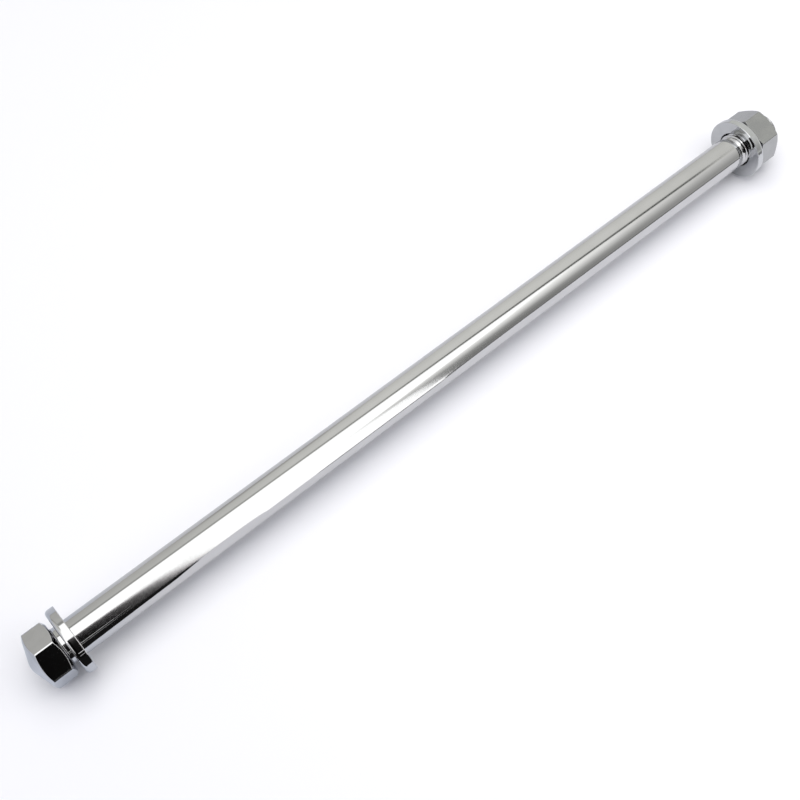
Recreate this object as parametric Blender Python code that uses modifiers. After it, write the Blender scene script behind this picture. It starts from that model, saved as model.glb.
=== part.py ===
# Wheel axle: a hex-headed rod with a threaded end, two thick washers and a nut
#
# The rod lies along X with its head at -X. The origin is on the rod's axis,
# halfway along its length. Lengths are in metres, angles in degrees.
# Every piece is modelled along its own Z axis and then turned to lie along X.

import bpy
from math import cos, pi, radians, sin, sqrt, tan
from mathutils import Matrix

# Head: a hexagon with a shallow cone and a rounded tip on its outer end.
# Its turn is the angle of one corner from straight down, as is the nut's.
HEAD_ACROSS_FLATS = 0.017
HEAD_HEIGHT = 0.010
HEAD_CONE_ANGLE = 17.5
HEAD_TIP_RADIUS = 0.0045
HEAD_FILLET = 0.0006
HEAD_TURN = 8.0

# Rod: a plain shank, a tapered shoulder, a relief groove and the threaded end
SHANK_DIAMETER = 0.012
SHANK_LENGTH = 0.2825
SHOULDER_TAPER_LENGTH = 0.0014
GROOVE_WIDTH = 0.0004
THREAD_PITCH = 0.00125
THREAD_LENGTH = 0.0182
THREAD_END_CHAMFER = 0.001

# Washers: thick, with the rounded outer edge of a stamped blank on one side
WASHER_BORE_CLEARANCE = 0.0005
WASHER_RING_WIDTH = 0.0045
WASHER_THICKNESS = 0.0032
WASHER_ROUNDED_EDGE = 0.0013
WASHER_SHARP_EDGE = 0.0002
WASHER_BORE_EDGE = 0.0003

# Nut: a plain hexagon, chamfered on both ends, that the thread passes through
NUT_ACROSS_FLATS = 0.018
NUT_HEIGHT = 0.0092
NUT_BORE_CLEARANCE = 0.0003
NUT_BORE_EDGE = 0.0005
NUT_TURN = 49.8

# Both hexagons: the round seat stops inside the flats, and the corners are eased
SEAT_INSET = 0.0005
SEAT_CHAMFER_ANGLE = 30.0
CORNER_EASE = 0.0003

# Where the loose pieces lie along the rod
HEAD_WASHER_GAP = 0.0015
NUT_WASHER_SETBACK = 0.0035
NUT_FACE_GAP = 0.0003

# Facets of a full circle, and how far a cutter reaches past what it cuts
ROUND_STEPS = 64
ARC_STEPS = 6
CUTTER_MARGIN = 0.001

# A thread's mean and root radius lie below its crest by these shares of the pitch
MEAN_DEPTH = 0.3248
ROOT_DEPTH = 0.6134

# Values that follow from the sizes above
SHANK_RADIUS = SHANK_DIAMETER / 2
THREAD_RADIUS = SHANK_RADIUS - MEAN_DEPTH * THREAD_PITCH
GROOVE_RADIUS = SHANK_RADIUS - ROOT_DEPTH * THREAD_PITCH
THREAD_START = SHANK_LENGTH + SHOULDER_TAPER_LENGTH + GROOVE_WIDTH
ROD_END = THREAD_START + THREAD_LENGTH
WASHER_BORE_RADIUS = SHANK_RADIUS + WASHER_BORE_CLEARANCE
WASHER_RADIUS = WASHER_BORE_RADIUS + WASHER_RING_WIDTH
NUT_BORE_RADIUS = THREAD_RADIUS + NUT_BORE_CLEARANCE
SEAT_X = (HEAD_HEIGHT - ROD_END) / 2
HEAD_WASHER_X = SEAT_X + HEAD_WASHER_GAP
NUT_WASHER_X = SEAT_X + SHANK_LENGTH + NUT_WASHER_SETBACK
NUT_X = NUT_WASHER_X + WASHER_THICKNESS + NUT_FACE_GAP


def clear_scene():
    for thing in list(bpy.data.objects):
        bpy.data.objects.remove(thing, do_unlink=True)


def new_collection(name):
    group = bpy.data.collections.new(name)
    bpy.context.scene.collection.children.link(group)
    return group


def metal(name, color, roughness):
    material = bpy.data.materials.new(name)
    material.use_nodes = True
    shader = material.node_tree.nodes["Principled BSDF"]
    shader.inputs["Base Color"].default_value = (*color, 1.0)
    shader.inputs["Metallic"].default_value = 1.0
    shader.inputs["Roughness"].default_value = roughness
    return material


def arc(center_r, center_z, radius, start, end):
    """Points of an arc in a profile, from one angle in degrees to another."""
    points = []
    for step in range(ARC_STEPS + 1):
        angle = radians(start + (end - start) * step / ARC_STEPS)
        points.append((center_r + radius * cos(angle), center_z + radius * sin(angle)))
    return points


def turned(name, profile, group, closed=False):
    """A solid turned about Z from (radius, height) points that run down its outer side."""
    half_step = pi / ROUND_STEPS
    points = [(r * cos(half_step), r * sin(half_step), z) for r, z in profile]
    edges = [(i, i + 1) for i in range(len(points) - 1)]
    if closed:
        edges.append((len(points) - 1, 0))
    mesh = bpy.data.meshes.new(name)
    mesh.from_pydata(points, edges, [])
    thing = bpy.data.objects.new(name, mesh)
    group.objects.link(thing)
    screw = thing.modifiers.new("Turn", "SCREW")
    screw.axis = "Z"
    screw.angle = 2 * pi
    screw.steps = ROUND_STEPS
    screw.render_steps = ROUND_STEPS
    screw.use_merge_vertices = True
    screw.merge_threshold = 0.000001
    screw.use_smooth_shade = True
    return thing


def hexagon(name, across_flats, bottom, top, group):
    """A hexagonal bar along Z with eased corners, one corner at +X."""
    bpy.ops.mesh.primitive_cylinder_add(
        vertices=6,
        radius=corner_radius(across_flats),
        depth=top - bottom,
        location=(0, 0, 0),
        rotation=(0, 0, 0),
    )
    bar = bpy.context.active_object
    bar.name = name
    bar.data.name = name
    for owner in list(bar.users_collection):
        owner.objects.unlink(bar)
    group.objects.link(bar)
    bar.data.transform(Matrix.Rotation(pi / 6, 4, "Z"))
    bar.data.transform(Matrix.Translation((0, 0, (top + bottom) / 2)))
    ease = bar.modifiers.new("Eased corners", "BEVEL")
    ease.width = CORNER_EASE
    ease.segments = 2
    ease.limit_method = "ANGLE"
    ease.angle_limit = radians(50)
    return bar


def boolean(thing, operation, tool):
    step = thing.modifiers.new(tool.name, "BOOLEAN")
    step.operation = operation
    step.solver = "EXACT"
    step.object = tool
    tool.hide_render = True
    tool.display_type = "WIRE"


def shade(thing):
    """Light round faces as round, and flat faces as flat."""
    normals = thing.modifiers.new("Shading", "WEIGHTED_NORMAL")
    normals.keep_sharp = True


def lay_along_x(thing, x, turn=0.0, flipped=False):
    """Turn a piece from Z to X, spin it about X and move it to its place."""
    quarter = -pi / 2 if flipped else pi / 2
    spin = Matrix.Rotation(radians(turn), 4, "X")
    thing.matrix_world = Matrix.Translation((x, 0, 0)) @ spin @ Matrix.Rotation(quarter, 4, "Y")


def corner_radius(across_flats):
    return across_flats / sqrt(3)


def seat_chamfer(radius, across_flats):
    """How far a hexagon's chamfer lies from its end face at a radius."""
    return (radius - (across_flats / 2 - SEAT_INSET)) * tan(radians(SEAT_CHAMFER_ANGLE))


def head_envelope_profile():
    """The head's round form: seat chamfer, then the cone and its rounded tip."""
    rim = corner_radius(HEAD_ACROSS_FLATS) + CUTTER_MARGIN
    tip_z = HEAD_TIP_RADIUS - HEAD_HEIGHT
    tip = arc(0, tip_z, HEAD_TIP_RADIUS, HEAD_CONE_ANGLE - 90, -90)
    tip[-1] = (0, -HEAD_HEIGHT)
    cone_r, cone_z = tip[0]
    cone_top = cone_z + (rim - cone_r) * tan(radians(HEAD_CONE_ANGLE))
    seat = HEAD_ACROSS_FLATS / 2 - SEAT_INSET
    return [(0, 0), (seat, 0), (rim, -seat_chamfer(rim, HEAD_ACROSS_FLATS)), (rim, cone_top)] + tip


def rod_profile():
    """The rod from its threaded end down to its root inside the head."""
    fillet = arc(SHANK_RADIUS + HEAD_FILLET, HEAD_FILLET, HEAD_FILLET, 180, 270)
    root = -HEAD_HEIGHT / 4
    end = [
        (0, ROD_END),
        (THREAD_RADIUS - THREAD_END_CHAMFER, ROD_END),
        (THREAD_RADIUS, ROD_END - THREAD_END_CHAMFER),
        (THREAD_RADIUS, THREAD_START),
    ]
    shoulder = [
        (GROOVE_RADIUS, THREAD_START - GROOVE_WIDTH / 4),
        (GROOVE_RADIUS, THREAD_START - GROOVE_WIDTH),
        (SHANK_RADIUS, SHANK_LENGTH),
    ]
    return end + shoulder + fillet + [(SHANK_RADIUS + HEAD_FILLET, root), (0, root)]


def washer_profile():
    """A ring whose rounded outer edge is at its bottom and sharp one at its top."""
    outer = WASHER_RADIUS
    bore = WASHER_BORE_RADIUS
    thick = WASHER_THICKNESS
    top = [
        (bore, thick - WASHER_BORE_EDGE),
        (bore + WASHER_BORE_EDGE, thick),
        (outer - WASHER_SHARP_EDGE, thick),
        (outer, thick - WASHER_SHARP_EDGE),
    ]
    rounded = arc(outer - WASHER_ROUNDED_EDGE, WASHER_ROUNDED_EDGE, WASHER_ROUNDED_EDGE, 0, -90)
    bottom = [(bore + WASHER_BORE_EDGE, 0), (bore, WASHER_BORE_EDGE)]
    return top + rounded + bottom


def nut_envelope_profile():
    """The nut's round form, with the same chamfer on both ends."""
    rim = corner_radius(NUT_ACROSS_FLATS) + CUTTER_MARGIN
    seat = NUT_ACROSS_FLATS / 2 - SEAT_INSET
    chamfer = seat_chamfer(rim, NUT_ACROSS_FLATS)
    return [(0, NUT_HEIGHT), (seat, NUT_HEIGHT), (rim, NUT_HEIGHT - chamfer), (rim, chamfer), (seat, 0), (0, 0)]


def nut_bore_profile():
    """The nut's hole, opened out at both mouths."""
    mouth = NUT_BORE_RADIUS + NUT_BORE_EDGE + CUTTER_MARGIN
    flare = NUT_BORE_EDGE + CUTTER_MARGIN
    return [
        (0, NUT_HEIGHT + CUTTER_MARGIN),
        (mouth, NUT_HEIGHT + CUTTER_MARGIN),
        (NUT_BORE_RADIUS, NUT_HEIGHT + CUTTER_MARGIN - flare),
        (NUT_BORE_RADIUS, flare - CUTTER_MARGIN),
        (mouth, -CUTTER_MARGIN),
        (0, -CUTTER_MARGIN),
    ]


def make_axle(parts, cutters):
    axle = hexagon(
        "axle", HEAD_ACROSS_FLATS, -HEAD_HEIGHT - CUTTER_MARGIN, CUTTER_MARGIN, parts
    )
    envelope = turned("head_envelope", head_envelope_profile(), cutters)
    rod = turned("rod_form", rod_profile(), cutters)
    boolean(axle, "INTERSECT", envelope)
    boolean(axle, "UNION", rod)
    for thing in (axle, envelope, rod):
        lay_along_x(thing, SEAT_X, HEAD_TURN)
    return axle


def make_washers(parts):
    head_washer = turned("head_washer", washer_profile(), parts, closed=True)
    lay_along_x(head_washer, HEAD_WASHER_X)
    nut_washer = turned("nut_washer", washer_profile(), parts, closed=True)
    lay_along_x(nut_washer, NUT_WASHER_X + WASHER_THICKNESS, flipped=True)
    return head_washer, nut_washer


def make_nut(parts, cutters):
    nut = hexagon("axle_nut", NUT_ACROSS_FLATS, -CUTTER_MARGIN, NUT_HEIGHT + CUTTER_MARGIN, parts)
    envelope = turned("nut_envelope", nut_envelope_profile(), cutters)
    bore = turned("nut_bore", nut_bore_profile(), cutters)
    boolean(nut, "INTERSECT", envelope)
    boolean(nut, "DIFFERENCE", bore)
    for thing in (nut, envelope, bore):
        lay_along_x(thing, NUT_X, NUT_TURN)
    return nut


def main():
    clear_scene()
    parts = new_collection("wheel_axle")
    cutters = new_collection("cutters")
    axle = make_axle(parts, cutters)
    head_washer, nut_washer = make_washers(parts)
    nut = make_nut(parts, cutters)
    finishes = (
        (axle, "Chrome rod", (0.78, 0.78, 0.79), 0.06),
        (head_washer, "Chrome head washer", (0.76, 0.76, 0.77), 0.08),
        (nut_washer, "Chrome nut washer", (0.74, 0.74, 0.76), 0.1),
        (nut, "Chrome nut", (0.72, 0.73, 0.74), 0.12),
    )
    for thing, name, color, roughness in finishes:
        thing.data.materials.clear()
        thing.data.materials.append(metal(name, color, roughness))
        shade(thing)


main()
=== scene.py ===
# Wheel axle: the looks of the chromed rod, its two washers and its nut
# The rod lies along X with its head at -X. Sizes are in metres, angles in degrees.

import bpy
from math import atan2, ceil, cos, degrees, pi, radians, sin, sqrt, tan
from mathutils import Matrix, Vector


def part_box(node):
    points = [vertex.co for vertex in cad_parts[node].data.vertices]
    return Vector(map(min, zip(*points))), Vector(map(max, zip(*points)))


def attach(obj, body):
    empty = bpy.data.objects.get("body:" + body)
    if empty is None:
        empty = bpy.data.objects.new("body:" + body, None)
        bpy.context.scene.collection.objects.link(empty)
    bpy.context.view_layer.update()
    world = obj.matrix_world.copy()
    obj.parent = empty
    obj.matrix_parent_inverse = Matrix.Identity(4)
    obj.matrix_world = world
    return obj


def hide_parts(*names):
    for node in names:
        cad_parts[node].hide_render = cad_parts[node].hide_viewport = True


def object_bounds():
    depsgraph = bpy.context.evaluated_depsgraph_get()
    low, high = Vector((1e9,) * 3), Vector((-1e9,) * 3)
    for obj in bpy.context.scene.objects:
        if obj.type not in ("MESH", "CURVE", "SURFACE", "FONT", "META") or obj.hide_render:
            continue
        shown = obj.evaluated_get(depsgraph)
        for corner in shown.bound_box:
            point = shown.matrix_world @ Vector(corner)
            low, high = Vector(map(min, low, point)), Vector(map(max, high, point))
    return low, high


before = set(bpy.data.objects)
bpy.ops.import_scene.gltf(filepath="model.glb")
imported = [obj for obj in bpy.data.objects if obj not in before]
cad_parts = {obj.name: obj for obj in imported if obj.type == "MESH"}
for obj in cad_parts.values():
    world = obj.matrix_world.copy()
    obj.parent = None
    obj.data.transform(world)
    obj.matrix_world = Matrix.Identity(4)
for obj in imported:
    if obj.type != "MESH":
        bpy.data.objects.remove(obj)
cadLow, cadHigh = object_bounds()
scene = bpy.context.scene
scene.view_settings.view_transform = "Standard"
print("frame loaded")


# Camera: looks down at the rod from beside its head
camera = {
    "place": (-0.140796, -0.143796, 0.333891),
    "tilt": 29.262,
    "heading": -40.309,
    "lens": 53.881,
    "shift": (-0.000625, 0.000625),
    "nearest": 0.01,
}


def placeCamera(c):
    data = bpy.data.cameras.new("camera")
    data.lens = c["lens"]
    data.shift_x, data.shift_y = c["shift"]
    data.clip_start = c["nearest"]
    thing = bpy.data.objects.new("camera", data)
    thing.location = c["place"]
    thing.rotation_euler = (radians(c["tilt"]), 0, radians(c["heading"]))
    scene.collection.objects.link(thing)
    scene.camera = thing


placeCamera(camera)
print("camera placed")


# Small helpers for shader nodes
def addNode(tree, kind, **settings):
    node = tree.nodes.new(kind)
    for key, value in settings.items():
        setattr(node, key, value)
    return node


def feed(tree, socket, value):
    if isinstance(value, bpy.types.NodeSocket):
        tree.links.new(value, socket)
    else:
        socket.default_value = value


def calc(tree, operation, *values):
    node = addNode(tree, "ShaderNodeMath", operation=operation)
    for socket, value in zip(node.inputs, values):
        feed(tree, socket, value)
    return node.outputs[0]


def times(tree, first, *others):
    result = first
    for other in others:
        result = calc(tree, "MULTIPLY", result, other)
    return result


def ease(tree, value, start, end, low=0.0, high=1.0):
    node = addNode(tree, "ShaderNodeMapRange", interpolation_type="SMOOTHSTEP")
    settings = {"Value": value, "From Min": start, "From Max": end, "To Min": low, "To Max": high}
    for name, setting in settings.items():
        feed(tree, node.inputs[name], setting)
    return node.outputs[0]


def along(tree, vector, direction):
    node = addNode(tree, "ShaderNodeVectorMath", operation="DOT_PRODUCT")
    feed(tree, node.inputs[0], vector)
    node.inputs[1].default_value = direction
    return node.outputs["Value"]


def blendColors(tree, factor, first, second):
    node = addNode(tree, "ShaderNodeMix", data_type="RGBA")
    feed(tree, node.inputs[0], factor)
    for socket, value in ((node.inputs[6], first), (node.inputs[7], second)):  # its two colour sockets
        feed(tree, socket, value if isinstance(value, bpy.types.NodeSocket) else (*value, 1.0))
    return node.outputs[2]


def ramp(tree, value, stops):
    node = addNode(tree, "ShaderNodeValToRGB")
    node.color_ramp.interpolation = "LINEAR"
    points = node.color_ramp.elements
    while len(points) < len(stops):
        points.new(0.5)  # gets its place below
    for point, (place, tone) in zip(points, stops):
        point.position = place
        point.color = (tone, tone, tone, 1.0)
    feed(tree, node.inputs[0], value)
    return node.outputs[0]


# Studio: a grey wall behind, a white card overhead, a dark gap where the camera looks in
# Turns are angles around the rod, from the wall's foot (0) over the top (90) to the front (180).
# Other places say how far a ray points along the rod, from -1 (head) to 1 (nut).
# An easing is (from, to, value there, value there), or (from, to) where it goes from 0 to 1.
studio = {
    "wallColor": (1.0, 1.0, 0.95),
    "wallAlong": (-0.05, 0.35, 0.68, 0.95),
    "wallAround": (0.0, 55.0, 0.93, 1.07),
    "wallEnd": (0.5, 0.62, 1.0, 0.9),
    "footStart": (0.08, 0.16),
    "footEnd": (0.33, 0.24),
    "footAround": (20.0, 9.0, 0.0, 0.22),
    "card": (1.95, 1.96, 1.94),
    "cardNormal": (-0.7246, -0.5779, 0.3753),  # cardEdge, lineStart and lineEnd go along it
    "cardEdge": (-0.01, 0.045),
    "cardAlong": (-0.10, -0.05),
    "cardAround": (62.0, 78.0),
    "lineStart": (-0.14, -0.055),
    "lineEnd": (0.0, -0.015),
    "lineDark": (0.15, 0.48, 0.42, 0.85),
    "lineFade": (0.58, 0.605, 1.0, 0.05),
    "side": (-0.5, -0.7),
    "sideTones": ((50, 0.9), (80, 1.8), (100, 2.6), (112, 2.4), (120, 1.2)),
    "front": (2.0, 2.0, 1.94),
    "frontEdge": (
        (100, 0.47), (118, 0.41), (128, 0.275), (136, 0.295), (144, 0.322), (157, 0.337), (185, 0.35),
    ),
    "frontSoftness": (-0.008, 0.012),
    "frontTones": ((104, 0.95), (126, 0.62), (150, 0.23), (170, 0.15)),
    "frontTonesNut": ((112, 0.47), (136, 0.37), (165, 0.25)),
    "nutward": (0.38, 0.62),
    "gapEdge": (
        (106, 0.0), (118, 0.052), (130, 0.077), (140, 0.088), (157, 0.10), (172, 0.113), (185, 0.123),
        (200, 0.123),
    ),
    "gapSoftness": (-0.004, 0.002),
    "gapAround": (107.5, 110.5),
    "gapEnd": (-0.86, -0.80),
    "gapTones": (  # by the depth from gapEdge into the gap
        (0.0, 1.9), (0.008, 1.1), (0.013, 0.55), (0.018, 0.26), (0.024, 0.15), (0.03, 0.11), (0.045, 0.08),
        (0.058, 0.055), (0.07, 0.022), (0.085, 0.009), (0.12, 0.006), (0.16, 0.004), (0.19, 0.003),
    ),
    "gapColor": (1.0, 0.955, 0.96),
    "slits": ((161.0, 1.3), (171.0, 0.7)),
    "slitWidth": (1.0, 0.6),  # degrees to either side
    "slitStart": (0.04, 0.02),
    "slitEnd": (-0.16, -0.12),
    "ambient": (0.475, 0.485, 0.545),
    "cameraWhite": 0.985,
}


def studioRoom(tree, s):
    look = addNode(tree, "ShaderNodeTexCoord").outputs["Generated"]
    split = addNode(tree, "ShaderNodeSeparateXYZ")
    feed(tree, split.inputs[0], look)
    x, y, z = split.outputs
    turn = calc(tree, "MULTIPLY", calc(tree, "ARCTAN2", z, y), 180 / pi)
    under = calc(tree, "LESS_THAN", turn, -90.0)
    turn = calc(tree, "ADD", turn, calc(tree, "MULTIPLY", under, 360.0))  # from -90 round to 270
    circle = calc(tree, "DIVIDE", turn, 360.0)

    def byTurn(name):
        return ramp(tree, circle, [(place / 360, tone) for place, tone in s[name]])

    def easing(value, name):
        return ease(tree, value, *s[name])

    # The wall, with a darker foot, and a dark line below the card's edge
    wallTone = times(tree, easing(x, "wallAlong"), easing(turn, "wallAround"), easing(x, "wallEnd"))
    foot = times(tree, easing(x, "footStart"), easing(x, "footEnd"), easing(turn, "footAround"))
    wallTone = calc(tree, "SUBTRACT", wallTone, foot)
    edge = along(tree, look, s["cardNormal"])
    line = times(tree, easing(edge, "lineStart"), easing(edge, "lineEnd"))
    line = times(tree, line, easing(x, "lineDark"), easing(x, "lineFade"))
    wallTone = times(tree, wallTone, calc(tree, "SUBTRACT", 1.0, line))
    wall = blendColors(tree, wallTone, (0, 0, 0), s["wallColor"])

    # The card, with the front past its far edge, and the side beyond the head
    frontTone = blendColors(tree, easing(x, "nutward"), byTurn("frontTones"), byTurn("frontTonesNut"))
    front = blendColors(tree, frontTone, (0, 0, 0), s["front"])
    past = calc(tree, "SUBTRACT", x, byTurn("frontEdge"))
    over = blendColors(tree, easing(past, "frontSoftness"), s["card"], front)
    overhead = calc(tree, "MAXIMUM", easing(x, "cardAlong"), easing(turn, "cardAround"))
    overhead = times(tree, overhead, easing(edge, "cardEdge"))
    room = blendColors(tree, overhead, wall, over)
    room = blendColors(tree, easing(x, "side"), room, byTurn("sideTones"))

    # The gap, darker with depth, and the two slits of light in it
    depth = calc(tree, "SUBTRACT", byTurn("gapEdge"), x)
    inGap = times(tree, easing(depth, "gapSoftness"), easing(turn, "gapAround"), easing(x, "gapEnd"))
    stretch = 5.0  # a depth of 0.2 is the ramp's end
    gapStops = [(place * stretch, tone) for place, tone in s["gapTones"]]
    gapTone = ramp(tree, times(tree, depth, stretch), gapStops)
    gap = blendColors(tree, gapTone, (0, 0, 0), s["gapColor"])
    room = blendColors(tree, inGap, room, gap)
    for place, tone in s["slits"]:
        off = calc(tree, "ABSOLUTE", calc(tree, "SUBTRACT", turn, place))
        slit = times(tree, easing(off, "slitWidth"), easing(x, "slitStart"), easing(x, "slitEnd"))
        room = blendColors(tree, slit, room, (tone,) * 3)
    return room


def buildStudio(s):
    # The chrome sees the room, matt surfaces get it through the ambient colour, the camera sees white
    world = bpy.data.worlds.new("studio")
    scene.world = world
    world.use_nodes = True
    tree = world.node_tree
    tree.nodes.clear()
    rays = addNode(tree, "ShaderNodeLightPath")
    share = addNode(tree, "ShaderNodeVectorMath", operation="MULTIPLY")
    feed(tree, share.inputs[0], studioRoom(tree, s))
    feed(tree, share.inputs[1], blendColors(tree, rays.outputs["Is Glossy Ray"], s["ambient"], (1, 1, 1)))
    light = addNode(tree, "ShaderNodeBackground")
    feed(tree, light.inputs[0], share.outputs[0])
    seen = addNode(tree, "ShaderNodeBackground")
    seen.inputs[0].default_value = (s["cameraWhite"],) * 3 + (1.0,)
    pick = addNode(tree, "ShaderNodeMixShader")
    feed(tree, pick.inputs[0], rays.outputs["Is Camera Ray"])
    feed(tree, pick.inputs[1], light.outputs[0])
    feed(tree, pick.inputs[2], seen.outputs[0])
    out = addNode(tree, "ShaderNodeOutputWorld")
    feed(tree, out.inputs[0], pick.outputs[0])


buildStudio(studio)
print("studio built")


# Lamps: a soft box overhead, a little behind the rod, and a weak one in front of the nut's end,
# for the shadow's depth
lamps = {
    "overhead": {
        "place": (-0.02, 0.18, 1.0), "aim": (-0.02, 0, 0), "size": (1.1, 0.94),
        "power": 7.1, "color": (1.0, 0.97, 0.91),
    },
    "fill": {
        "place": (0.17, -0.17, 0.30), "aim": (0.07, 0, 0), "size": (0.3, 0.3),
        "power": 0.36, "color": (1.0, 0.98, 0.95),
    },
}


def buildLamp(name, lamp):
    data = bpy.data.lights.new(name, "AREA")
    data.shape = "RECTANGLE"
    data.size, data.size_y = lamp["size"]
    data.energy = lamp["power"]
    data.color = lamp["color"]
    thing = bpy.data.objects.new(name, data)
    thing.location = lamp["place"]
    aim = Vector(lamp["aim"]) - Vector(lamp["place"])
    thing.rotation_euler = aim.to_track_quat("-Z", "Y").to_euler()
    thing.visible_camera = False
    thing.visible_glossy = False
    scene.collection.objects.link(thing)


for name, lamp in lamps.items():
    buildLamp(name, lamp)
print("lamps built")


# Floor: pale paper that fades into the background far from the rod
# The sheets beyond its front edge are painted reflections that glow or stay dark for the chrome alone, and
# the paper's painted shade, darker behind the rod and darker and bluer beside the head, shows to the
# chrome alone too
paper = {
    "width": 6.0,
    "color": (0.87, 0.875, 0.905),
    "roughness": 0.9,
    "lift": 0.03,  # a little light of its own, for camera and chrome
    "fade": (0.3, 0.9),
    # Painted shade, seen by the chrome alone: the paper darker behind the rod, and darker and bluer beside
    # the head
    "farShade": (0.0, 0.01, 0.0, 0.17),
    "paintedHeadShade": (0.72, 0.765, 0.85),
    "paintedHeadShadeSpan": (-0.11, -0.16),
    "sheetHeight": 0.0002,
    # Painted reflections: a dark sheet, a glowing sheet for the card, a dark seam and a grey front, all
    # seen by the chrome alone
    "beyond": {
        "paintedDarkReflection": {"tone": 0.012, "points": (
            (-0.175, -0.010), (-0.138, -0.031), (-0.106, -0.043), (-0.100, -0.060), (-0.090, -0.1),
            (-0.07, -0.3), (0.25, -3.0), (-3.0, -3.0), (-3.0, -0.010),
        )},
        "paintedCardReflection": {"tone": 1.95, "points": (
            (-0.066, -0.060), (0.016, -0.058), (0.11, -0.3), (1.15, -3.0), (0.35, -3.0), (-0.035, -0.3),
        )},
        "paintedSeamReflection": {"tone": 0.12, "points": (
            (-0.045, -0.046), (0.008, -0.044), (0.016, -0.058), (-0.045, -0.058),
        )},
        "paintedFrontReflection": {"tone": 0.29, "points": (
            (0.010, -0.046), (0.03, -0.066), (0.056, -0.086), (0.09, -0.094), (3.0, -0.09), (3.0, -3.0),
            (1.15, -3.0), (0.11, -0.3), (0.016, -0.058),
        )},
    },
}


def paperMaterial(p):
    material = bpy.data.materials.new("paper")
    material.use_nodes = True
    tree = material.node_tree
    shader = tree.nodes["Principled BSDF"]
    shader.inputs["Roughness"].default_value = p["roughness"]
    shader.inputs["Specular IOR Level"].default_value = 0.0
    rays = addNode(tree, "ShaderNodeLightPath")
    byCamera = rays.outputs["Is Camera Ray"]
    byChrome = rays.outputs["Is Glossy Ray"]
    place = addNode(tree, "ShaderNodeTexCoord").outputs["Object"]
    split = addNode(tree, "ShaderNodeSeparateXYZ")
    feed(tree, split.inputs[0], place)
    x, y, _ = split.outputs
    # Painted shade for the chrome alone: the paper darker and bluer beside the head, and darker behind the
    # rod
    headShadeMask = times(tree, ease(tree, x, *p["paintedHeadShadeSpan"]), byChrome)
    shaded = times(tree, ease(tree, y, *p["farShade"]), byChrome)
    headShadedColor = blendColors(tree, headShadeMask, p["color"], p["paintedHeadShade"])
    feed(tree, shader.inputs["Base Color"], blendColors(tree, shaded, headShadedColor, (0, 0, 0)))
    glow = addNode(tree, "ShaderNodeEmission")
    glow.inputs[0].default_value = (1, 1, 1, 1)
    feed(tree, glow.inputs[1], times(tree, calc(tree, "MAXIMUM", byCamera, byChrome), p["lift"]))
    both = addNode(tree, "ShaderNodeAddShader")
    feed(tree, both.inputs[0], shader.outputs[0])
    feed(tree, both.inputs[1], glow.outputs[0])
    away = addNode(tree, "ShaderNodeVectorMath", operation="LENGTH")
    feed(tree, away.inputs[0], place)
    background = addNode(tree, "ShaderNodeEmission")
    background.inputs[0].default_value = (studio["cameraWhite"],) * 3 + (1.0,)
    blend = addNode(tree, "ShaderNodeMixShader")
    feed(tree, blend.inputs[0], times(tree, ease(tree, away.outputs["Value"], *p["fade"]), byCamera))
    feed(tree, blend.inputs[1], both.outputs[0])
    feed(tree, blend.inputs[2], background.outputs[0])
    feed(tree, tree.nodes["Material Output"].inputs[0], blend.outputs[0])
    return material


def glowingMaterial(name, tone):
    material = bpy.data.materials.new(name)
    material.use_nodes = True
    shader = material.node_tree.nodes["Principled BSDF"]
    shader.inputs["Base Color"].default_value = (0, 0, 0, 1)
    shader.inputs["Specular IOR Level"].default_value = 0.0
    shader.inputs["Emission Color"].default_value = (tone, tone, tone, 1)
    shader.inputs["Emission Strength"].default_value = 1.0
    return material


def flatSheet(name, points, z, material):
    mesh = bpy.data.meshes.new(name)
    mesh.from_pydata([(x, y, z) for x, y in points], [], [list(range(len(points)))])
    mesh.materials.append(material)
    thing = bpy.data.objects.new(name, mesh)
    scene.collection.objects.link(thing)
    return thing


def buildPaper(p):
    z = cadLow[2]
    half = p["width"] / 2
    flatSheet("paper", [(-half, -half), (half, -half), (half, half), (-half, half)], z, paperMaterial(p))
    # The sheets are painted reflections: they glow or stay dark, and only the chrome sees them
    for name, look in p["beyond"].items():
        sheet = flatSheet(name, look["points"], z + p["sheetHeight"], glowingMaterial(name, look["tone"]))
        sheet.visible_camera = False
        sheet.visible_diffuse = False
        sheet.visible_shadow = False


buildPaper(paper)
print("paper laid")


# Helpers that build a piece as rings of points around X
def cornerRound(halfFlats, easeRadius):
    # Where a hexagon's rounded corner has its centre, and the angle at which it meets the flat
    centre = (halfFlats - easeRadius) / cos(pi / 6)
    limit = atan2(easeRadius * sin(pi / 6), centre + easeRadius * cos(pi / 6))
    return centre, limit


def hexRadius(angle, cornerAngle, halfFlats, easeRadius):
    centre, limit = cornerRound(halfFlats, easeRadius)
    off = radians((angle - cornerAngle + 30) % 60 - 30)
    if abs(off) < limit:
        return centre * cos(off) + sqrt(easeRadius ** 2 - (centre * sin(off)) ** 2)
    return halfFlats / cos(pi / 6 - abs(off))


def hexAngles(cornerAngle, halfFlats, easeRadius, easeSteps, flatSteps):
    easeAngle = degrees(cornerRound(halfFlats, easeRadius)[1])
    angles = []
    for corner in range(6):
        middle = cornerAngle + 60 * corner
        for k in range(easeSteps):
            angles.append(middle - easeAngle + 2 * easeAngle * k / easeSteps)
        for k in range(flatSteps):
            angles.append(middle + easeAngle + (60 - 2 * easeAngle) * k / flatSteps)
    return sorted(a % 360 for a in angles)


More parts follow.
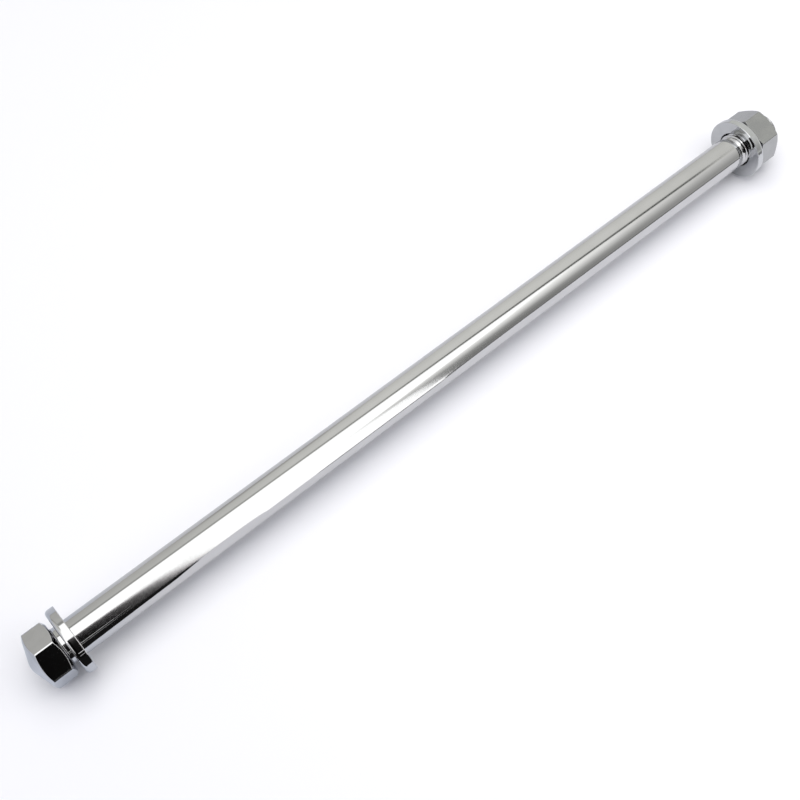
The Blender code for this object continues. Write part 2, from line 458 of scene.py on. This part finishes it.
def outline(corners, closed=False):
    # Corners are (x, r, rounding, arc steps, steps to the next corner). Gives (x, r, along x, along r).
    points = []
    count = len(corners)
    places = [Vector(corner[:2]) for corner in corners]
    entries, exits, arcs = [], [], []
    for i, (_, _, rounding, steps, _) in enumerate(corners):
        here = places[i]
        start = end = here
        arc = []
        if rounding:
            before = (places[i - 1] - here).normalized()
            after = (places[(i + 1) % count] - here).normalized()
            half = before.angle(after) / 2
            reach = rounding / tan(half)
            centre = here + (before + after).normalized() * (rounding / sin(half))
            start = here + before * reach
            end = here + after * reach
            firstAngle = atan2(start.y - centre.y, start.x - centre.x)
            sweep = atan2(end.y - centre.y, end.x - centre.x) - firstAngle
            sweep = (sweep + pi) % (2 * pi) - pi
            side = 1 if sweep > 0 else -1
            for k in range(steps + 1):
                a = firstAngle + sweep * k / steps
                x = centre.x + rounding * cos(a)
                r = centre.y + rounding * sin(a)
                arc.append((x, r, -sin(a) * side, cos(a) * side))
        entries.append(start)
        exits.append(end)
        arcs.append(arc)
    for i in range(count if closed else count - 1):
        n = (i + 1) % count
        points += arcs[i]
        heading = (entries[n] - exits[i]).normalized()
        steps = corners[i][4]
        first = 1 if arcs[i] else 0
        last = steps - 1 if arcs[n] else steps
        for k in range(first, last + 1):
            spot = exits[i].lerp(entries[n], k / steps)
            points.append((spot.x, spot.y, heading.x, heading.y))
    return points


def ringPiece(name, angles, profileAt, closed, materials, slotAt=None):
    # profileAt gives the same number of (x, r, along x, along r) rows at every angle
    step = 0.02
    turn = radians(step)
    columns, normals = [], []
    for angle in angles:
        rows = profileAt(angle)
        left = profileAt(angle - step)
        right = profileAt(angle + step)
        a = radians(angle)
        column, columnNormals = [], []
        for (x, r, tx, tr), (x0, r0, _, _), (x1, r1, _, _) in zip(rows, left, right):
            acrossY = r1 * cos(a + turn) - r0 * cos(a - turn)
            acrossZ = r1 * sin(a + turn) - r0 * sin(a - turn)
            around = Vector((x1 - x0, acrossY, acrossZ))
            ahead = Vector((tx, tr * cos(a), tr * sin(a)))
            column.append((x, r * cos(a), r * sin(a)))
            columnNormals.append(around.cross(ahead).normalized())
        columns.append(column)
        normals.append(columnNormals)
    count = len(angles)
    rowCount = len(columns[0])
    poles = [] if closed else [0, rowCount - 1]
    points, vertexNormals, index = [], [], {}
    for k in range(rowCount):
        if k not in poles:
            for i in range(count):
                index[i, k] = len(points)
                points.append(columns[i][k])
                vertexNormals.append(normals[i][k])
    for k in poles:
        for i in range(count):
            index[i, k] = len(points)
        points.append((columns[0][k][0], 0, 0))
        vertexNormals.append(Vector((-1 if k == 0 else 1, 0, 0)))
    faces, slots = [], []
    for k in range(rowCount if closed else rowCount - 1):
        n = (k + 1) % rowCount
        for i in range(count):
            j = (i + 1) % count
            face = [index[i, k], index[i, n], index[j, n], index[j, k]]
            faces.append(tuple(dict.fromkeys(face)))
            slots.append(slotAt(min(columns[i][k][0], columns[i][n][0])) if slotAt else 0)
    mesh = bpy.data.meshes.new(name)
    mesh.from_pydata(points, [], faces)
    for material in materials:
        mesh.materials.append(material)
    mesh.polygons.foreach_set("material_index", slots)
    mesh.polygons.foreach_set("use_smooth", [True] * len(faces))
    mesh.update()
    facing = mesh.polygons[len(faces) // 2]
    outward = sum((vertexNormals[v] for v in facing.vertices), Vector())
    if facing.normal.dot(outward) < 0:
        mesh.flip_normals()
    mesh.normals_split_custom_set_from_vertices([tuple(n) for n in vertexNormals])
    thing = bpy.data.objects.new(name, mesh)
    scene.collection.objects.link(thing)
    return thing


# The lower and the higher of two values, blended over a width
def softMin(a, b, width):
    h = max(width - abs(a - b), 0) / width
    return min(a, b) - h * h * width / 4


def softMax(a, b, width):
    return -softMin(-a, -b, width)


# Thread: right-handed, 60 degrees, with flat crests and rounded roots
thread = {
    "pitch": 0.00125,
    "crest": 0.006,
    "depth": 0.000767,
    "crestFlat": 0.125,  # share of the pitch
    "rounding": 0.00007,
    "clearance": 0.00006,
    "nutCrest": 0.00534,
    "rowsPerTurn": 14,
}


def threadRadius(x, angle, t):
    phase = (x / t["pitch"] - angle / 360) % 1
    off = (abs(phase - 0.5) - t["crestFlat"] / 2) * t["pitch"] * sqrt(3)
    ridge = t["crest"] - softMax(off, 0, t["rounding"])
    return softMax(ridge, t["crest"] - t["depth"], t["rounding"])


def rowsAlong(radiusAt, start, end, count):
    rows = []
    nudge = 1e-6
    side = 1 if end > start else -1
    for k in range(count + 1):
        x = start + (end - start) * k / count
        slope = (radiusAt(x + nudge) - radiusAt(x - nudge)) / (2 * nudge)
        size = sqrt(1 + slope ** 2)
        rows.append((x, radiusAt(x), side / size, side * slope / size))
    return rows


# Chrome: bright plating over ground or machined steel
# A finish takes from here what it doesn't say itself
plating = {
    "grind": 0.0,
    "grindTurn": 0.0,
    "cloudSpan": (0.35, 0.65),
    "cloudDetail": 3.0,
    "markSpan": (0.3, 0.7),
    "markStretch": (1, 1, 1),
    "markDetail": 3.0,
    "grainStretch": (1, 1, 1),
    "grainDetail": 2.0,
}


def chrome(name, finish):
    c = {**plating, **finish}
    material = bpy.data.materials.new(name)
    material.use_nodes = True
    tree = material.node_tree
    shader = tree.nodes["Principled BSDF"]
    shader.inputs["Metallic"].default_value = 1.0
    shader.inputs["Anisotropic"].default_value = c["grind"]
    shader.inputs["Anisotropic Rotation"].default_value = c["grindTurn"]
    if c["grind"]:
        tangent = addNode(tree, "ShaderNodeTangent", direction_type="RADIAL", axis="X")
        feed(tree, shader.inputs["Tangent"], tangent.outputs[0])
    where = addNode(tree, "ShaderNodeTexCoord").outputs["Object"]

    def noise(scale, stretch, detail):
        mapping = addNode(tree, "ShaderNodeMapping")
        mapping.inputs["Scale"].default_value = stretch
        feed(tree, mapping.inputs["Vector"], where)
        node = addNode(tree, "ShaderNodeTexNoise")
        node.inputs["Scale"].default_value = scale
        node.inputs["Detail"].default_value = detail
        feed(tree, node.inputs["Vector"], mapping.outputs[0])
        return node.outputs["Fac"]

    cloud = noise(c["cloudScale"], (1, 1, 1), c["cloudDetail"])
    marks = noise(c["markScale"], c["markStretch"], c["markDetail"])
    grain = noise(c["grainScale"], c["grainStretch"], c["grainDetail"])
    color = blendColors(tree, ease(tree, cloud, *c["cloudSpan"]), c["shade"], c["color"])
    feed(tree, shader.inputs["Base Color"], color)
    feed(tree, shader.inputs["Roughness"], ease(tree, marks, *c["markSpan"], *c["roughness"]))
    bump = addNode(tree, "ShaderNodeBump")
    bump.inputs["Strength"].default_value = c["bump"]
    bump.inputs["Distance"].default_value = c["bumpDepth"]
    feed(tree, bump.inputs["Height"], grain)
    feed(tree, shader.inputs["Normal"], bump.outputs[0])
    return material


# Axle: head, shank and threaded end in one piece
axle = {
    "headFlats": 0.017,
    "headCorner": 38.0,
    "headCornerEase": 0.0009,
    "headHeight": 0.010,
    "tipRound": 0.006,
    "tipSteps": 8,
    "coneSlope": 17.5,
    "rimRadius": 0.00775,
    "rimRound": 0.0055,
    "rimSlope": 26.0,
    "rimEdge": 0.00035,
    "seatEdge": 0.0002,
    "seatInset": 0.0005,
    "chamferAngle": 30.0,
    "fineEdge": 0.00012,
    "neckFillet": 0.0006,
    "shankRadius": 0.006,
    "shankLength": 0.2825,
    "shankFinishFrom": 0.00018,
    "taperLength": 0.0014,
    "shoulderStart": 0.0004,
    "shoulderRound": 0.002,
    "grooveWidth": 0.0004,
    "grooveRadius": 0.005233,
    "runInStep": 0.00002,
    "runInSlope": 1.1,
    "endChamfer": 0.0011,
    "threadBlend": 0.0001,
    "endRings": (0.97, 0.6, 0.3, 0),
    "cornerSteps": 12,
    "flatSteps": 26,
    "head": {
        "color": (0.545, 0.545, 0.555), "shade": (0.52, 0.52, 0.53), "roughness": (0.03, 0.06),
        "cloudScale": 250, "markScale": 900, "grainScale": 1500, "bump": 0.04, "bumpDepth": 0.00001,
    },
    "shank": {
        "color": (0.545, 0.545, 0.55), "shade": (0.53, 0.53, 0.535), "roughness": (0.042, 0.06),
        "grind": 0.9, "grindTurn": 0.25,
        "cloudScale": 120, "markScale": 1000, "markStretch": (2.0, 0.5, 0.5),
        "grainScale": 2000, "grainStretch": (2.4, 0.8, 0.8), "bump": 0.7, "bumpDepth": 0.0000026,
    },
}


def buildAxle(a, t):
    low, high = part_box("axle")
    seat = low.x + a["headHeight"]
    end = high.x - seat
    halfFlats = a["headFlats"] / 2
    seatRadius = halfFlats - a["seatInset"]
    chamfer = tan(radians(a["chamferAngle"]))
    tip = a["tipRound"]
    tipCentre = tip - a["headHeight"]
    cone = radians(a["coneSlope"])
    coneX = tipCentre - tip * cos(cone)
    coneR = tip * sin(cone)
    rimR = a["rimRadius"]
    rimX = coneX + (rimR - coneR) * tan(cone)
    rimRise = tan(radians(a["rimSlope"]))
    groove = a["grooveRadius"]
    shankEnd = a["shankLength"] + a["taperLength"]
    threadStart = shankEnd + a["grooveWidth"]
    threadRows = ceil((end - threadStart) / t["pitch"] * t["rowsPerTurn"])

    def profileAt(angle):
        hexR = hexRadius(angle, a["headCorner"], halfFlats, a["headCornerEase"])
        rows = []
        for k in range(a["tipSteps"]):
            b = cone * k / a["tipSteps"]
            rows.append((tipCentre - tip * cos(b), tip * sin(b), sin(b), cos(b)))
        corners = [
            (coneX, coneR, 0, 0, 6),
            (rimX, rimR, a["rimRound"], 8, 4),
            (rimX + (hexR - rimR) * rimRise, hexR, a["rimEdge"], 6, 6),
            (-(hexR - seatRadius) * chamfer, hexR, a["seatEdge"], 5, 2),
            (0, seatRadius, a["fineEdge"], 4, 3),
            (0, a["shankRadius"], a["neckFillet"], 8, 40),
            (a["shankLength"] + a["shoulderStart"], a["shankRadius"], a["shoulderRound"], 12, 3),
            (shankEnd, groove, a["fineEdge"], 3, 1),
            (threadStart, groove, 0, 0, 0),
        ]
        rows += outline(corners)

        def radiusAt(x):
            r = threadRadius(x + seat, angle, t)
            r = softMin(r, groove + a["runInStep"] + (x - threadStart) * a["runInSlope"], a["threadBlend"])
            return softMin(r, t["crest"] - a["endChamfer"] + (end - x), a["threadBlend"])

        rows += rowsAlong(radiusAt, threadStart, end, threadRows)
        endRadius = rows[-1][1]
        for share in a["endRings"]:
            rows.append((end, endRadius * share, 0, -1))
        return [(x + seat, r, tx, tr) for x, r, tx, tr in rows]

    def slotAt(x):
        return 1 if x > seat + a["shankFinishFrom"] else 0

    angles = hexAngles(a["headCorner"], halfFlats, a["headCornerEase"], a["cornerSteps"], a["flatSteps"])
    materials = [chrome("headChrome", a["head"]), chrome("shankChrome", a["shank"])]
    thing = ringPiece("chromeAxle", angles, profileAt, False, materials, slotAt)
    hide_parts("axle")
    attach(thing, "axle")


buildAxle(axle, thread)
print("axle built")


# Washers: thick rings, rounded outside on the face that looks outwards
washer = {
    "bore": 0.0065,
    "radius": 0.011,
    "thick": 0.0032,
    "roundedEdge": 0.0013,
    "sharpEdge": 0.00022,
    "boreEdge": 0.00025,
    "steps": 200,
    "headWasher": {
        "color": (0.545, 0.545, 0.55), "shade": (0.52, 0.52, 0.53), "roughness": (0.03, 0.07),
        "cloudScale": 260, "markScale": 900, "grainScale": 1300, "bump": 0.05, "bumpDepth": 0.00001,
    },
    "nutWasher": {
        "color": (0.53, 0.54, 0.55), "shade": (0.505, 0.515, 0.53), "roughness": (0.04, 0.08),
        "cloudScale": 300, "markScale": 900, "grainScale": 1300, "bump": 0.08, "bumpDepth": 0.00001,
    },
}


def buildWasher(w, node, name, finish, facing):
    low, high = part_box(node)
    start = low.x if facing > 0 else high.x

    def profileAt(angle):
        corners = [
            (0, w["radius"], w["roundedEdge"], 14, 4),
            (w["thick"], w["radius"], w["sharpEdge"], 5, 5),
            (w["thick"], w["bore"], w["boreEdge"], 5, 3),
            (0, w["bore"], w["boreEdge"], 5, 5),
        ]
        return [(start + facing * x, r, facing * tx, tr) for x, r, tx, tr in outline(corners, True)]

    angles = [360 * k / w["steps"] for k in range(w["steps"])]
    thing = ringPiece(name, angles, profileAt, True, [chrome(name, finish)])
    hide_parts(node)
    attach(thing, node)


buildWasher(washer, "head_washer", "chromeHeadWasher", washer["headWasher"], 1)
buildWasher(washer, "nut_washer", "chromeNutWasher", washer["nutWasher"], -1)
print("washers built")


# Nut: a plain hexagon with a threaded bore
nut = {
    "flats": 0.018,
    "corner": 19.8,
    "cornerEase": 0.0005,
    "seatInset": 0.0005,
    "chamferAngle": 30.0,
    "nearChamferAngle": 19.0,
    "edge": 0.0001,
    "fineEdge": 0.00012,
    "mouth": 0.00635,
    "threadBlend": 0.00008,
    "cornerSteps": 8,
    "flatSteps": 24,
    "finish": {
        "color": (0.375, 0.38, 0.38), "shade": (0.345, 0.35, 0.355), "roughness": (0.10, 0.18),
        "cloudScale": 250, "markScale": 700, "grainScale": 1100, "bump": 0.12, "bumpDepth": 0.00002,
    },
}


def buildNut(n, t):
    low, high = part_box("axle_nut")
    height = high.x - low.x
    halfFlats = n["flats"] / 2
    seatRadius = halfFlats - n["seatInset"]
    chamfer = tan(radians(n["chamferAngle"]))
    nearChamfer = tan(radians(n["nearChamferAngle"]))
    mouth = n["mouth"]
    threadRows = ceil(height / t["pitch"] * t["rowsPerTurn"])

    def profileAt(angle):
        hexR = hexRadius(angle, n["corner"], halfFlats, n["cornerEase"])
        cut = hexR - seatRadius

        def radiusAt(x):
            r = threadRadius(x + low.x, angle, t) + t["clearance"]
            for limit in (t["nutCrest"], mouth - x, mouth - (height - x)):
                r = softMax(r, limit, n["threadBlend"])
            return r

        corners = [
            (0, mouth + n["fineEdge"], 0, 0, 4),
            (0, seatRadius, n["fineEdge"], 4, 3),
            (cut * nearChamfer, hexR, n["edge"], 5, 6),
            (height - cut * chamfer, hexR, n["edge"], 5, 3),
            (height, seatRadius, n["fineEdge"], 4, 4),
            (height, mouth + n["fineEdge"], 0, 0, 0),
        ]
        rows = outline(corners) + rowsAlong(radiusAt, height, 0, threadRows)
        return [(x + low.x, r, tx, tr) for x, r, tx, tr in rows]

    angles = hexAngles(n["corner"], halfFlats, n["cornerEase"], n["cornerSteps"], n["flatSteps"])
    thing = ringPiece("chromeNut", angles, profileAt, True, [chrome("nutChrome", n["finish"])])
    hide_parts("axle_nut")
    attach(thing, "axle_nut")


buildNut(nut, thread)
print("nut built")
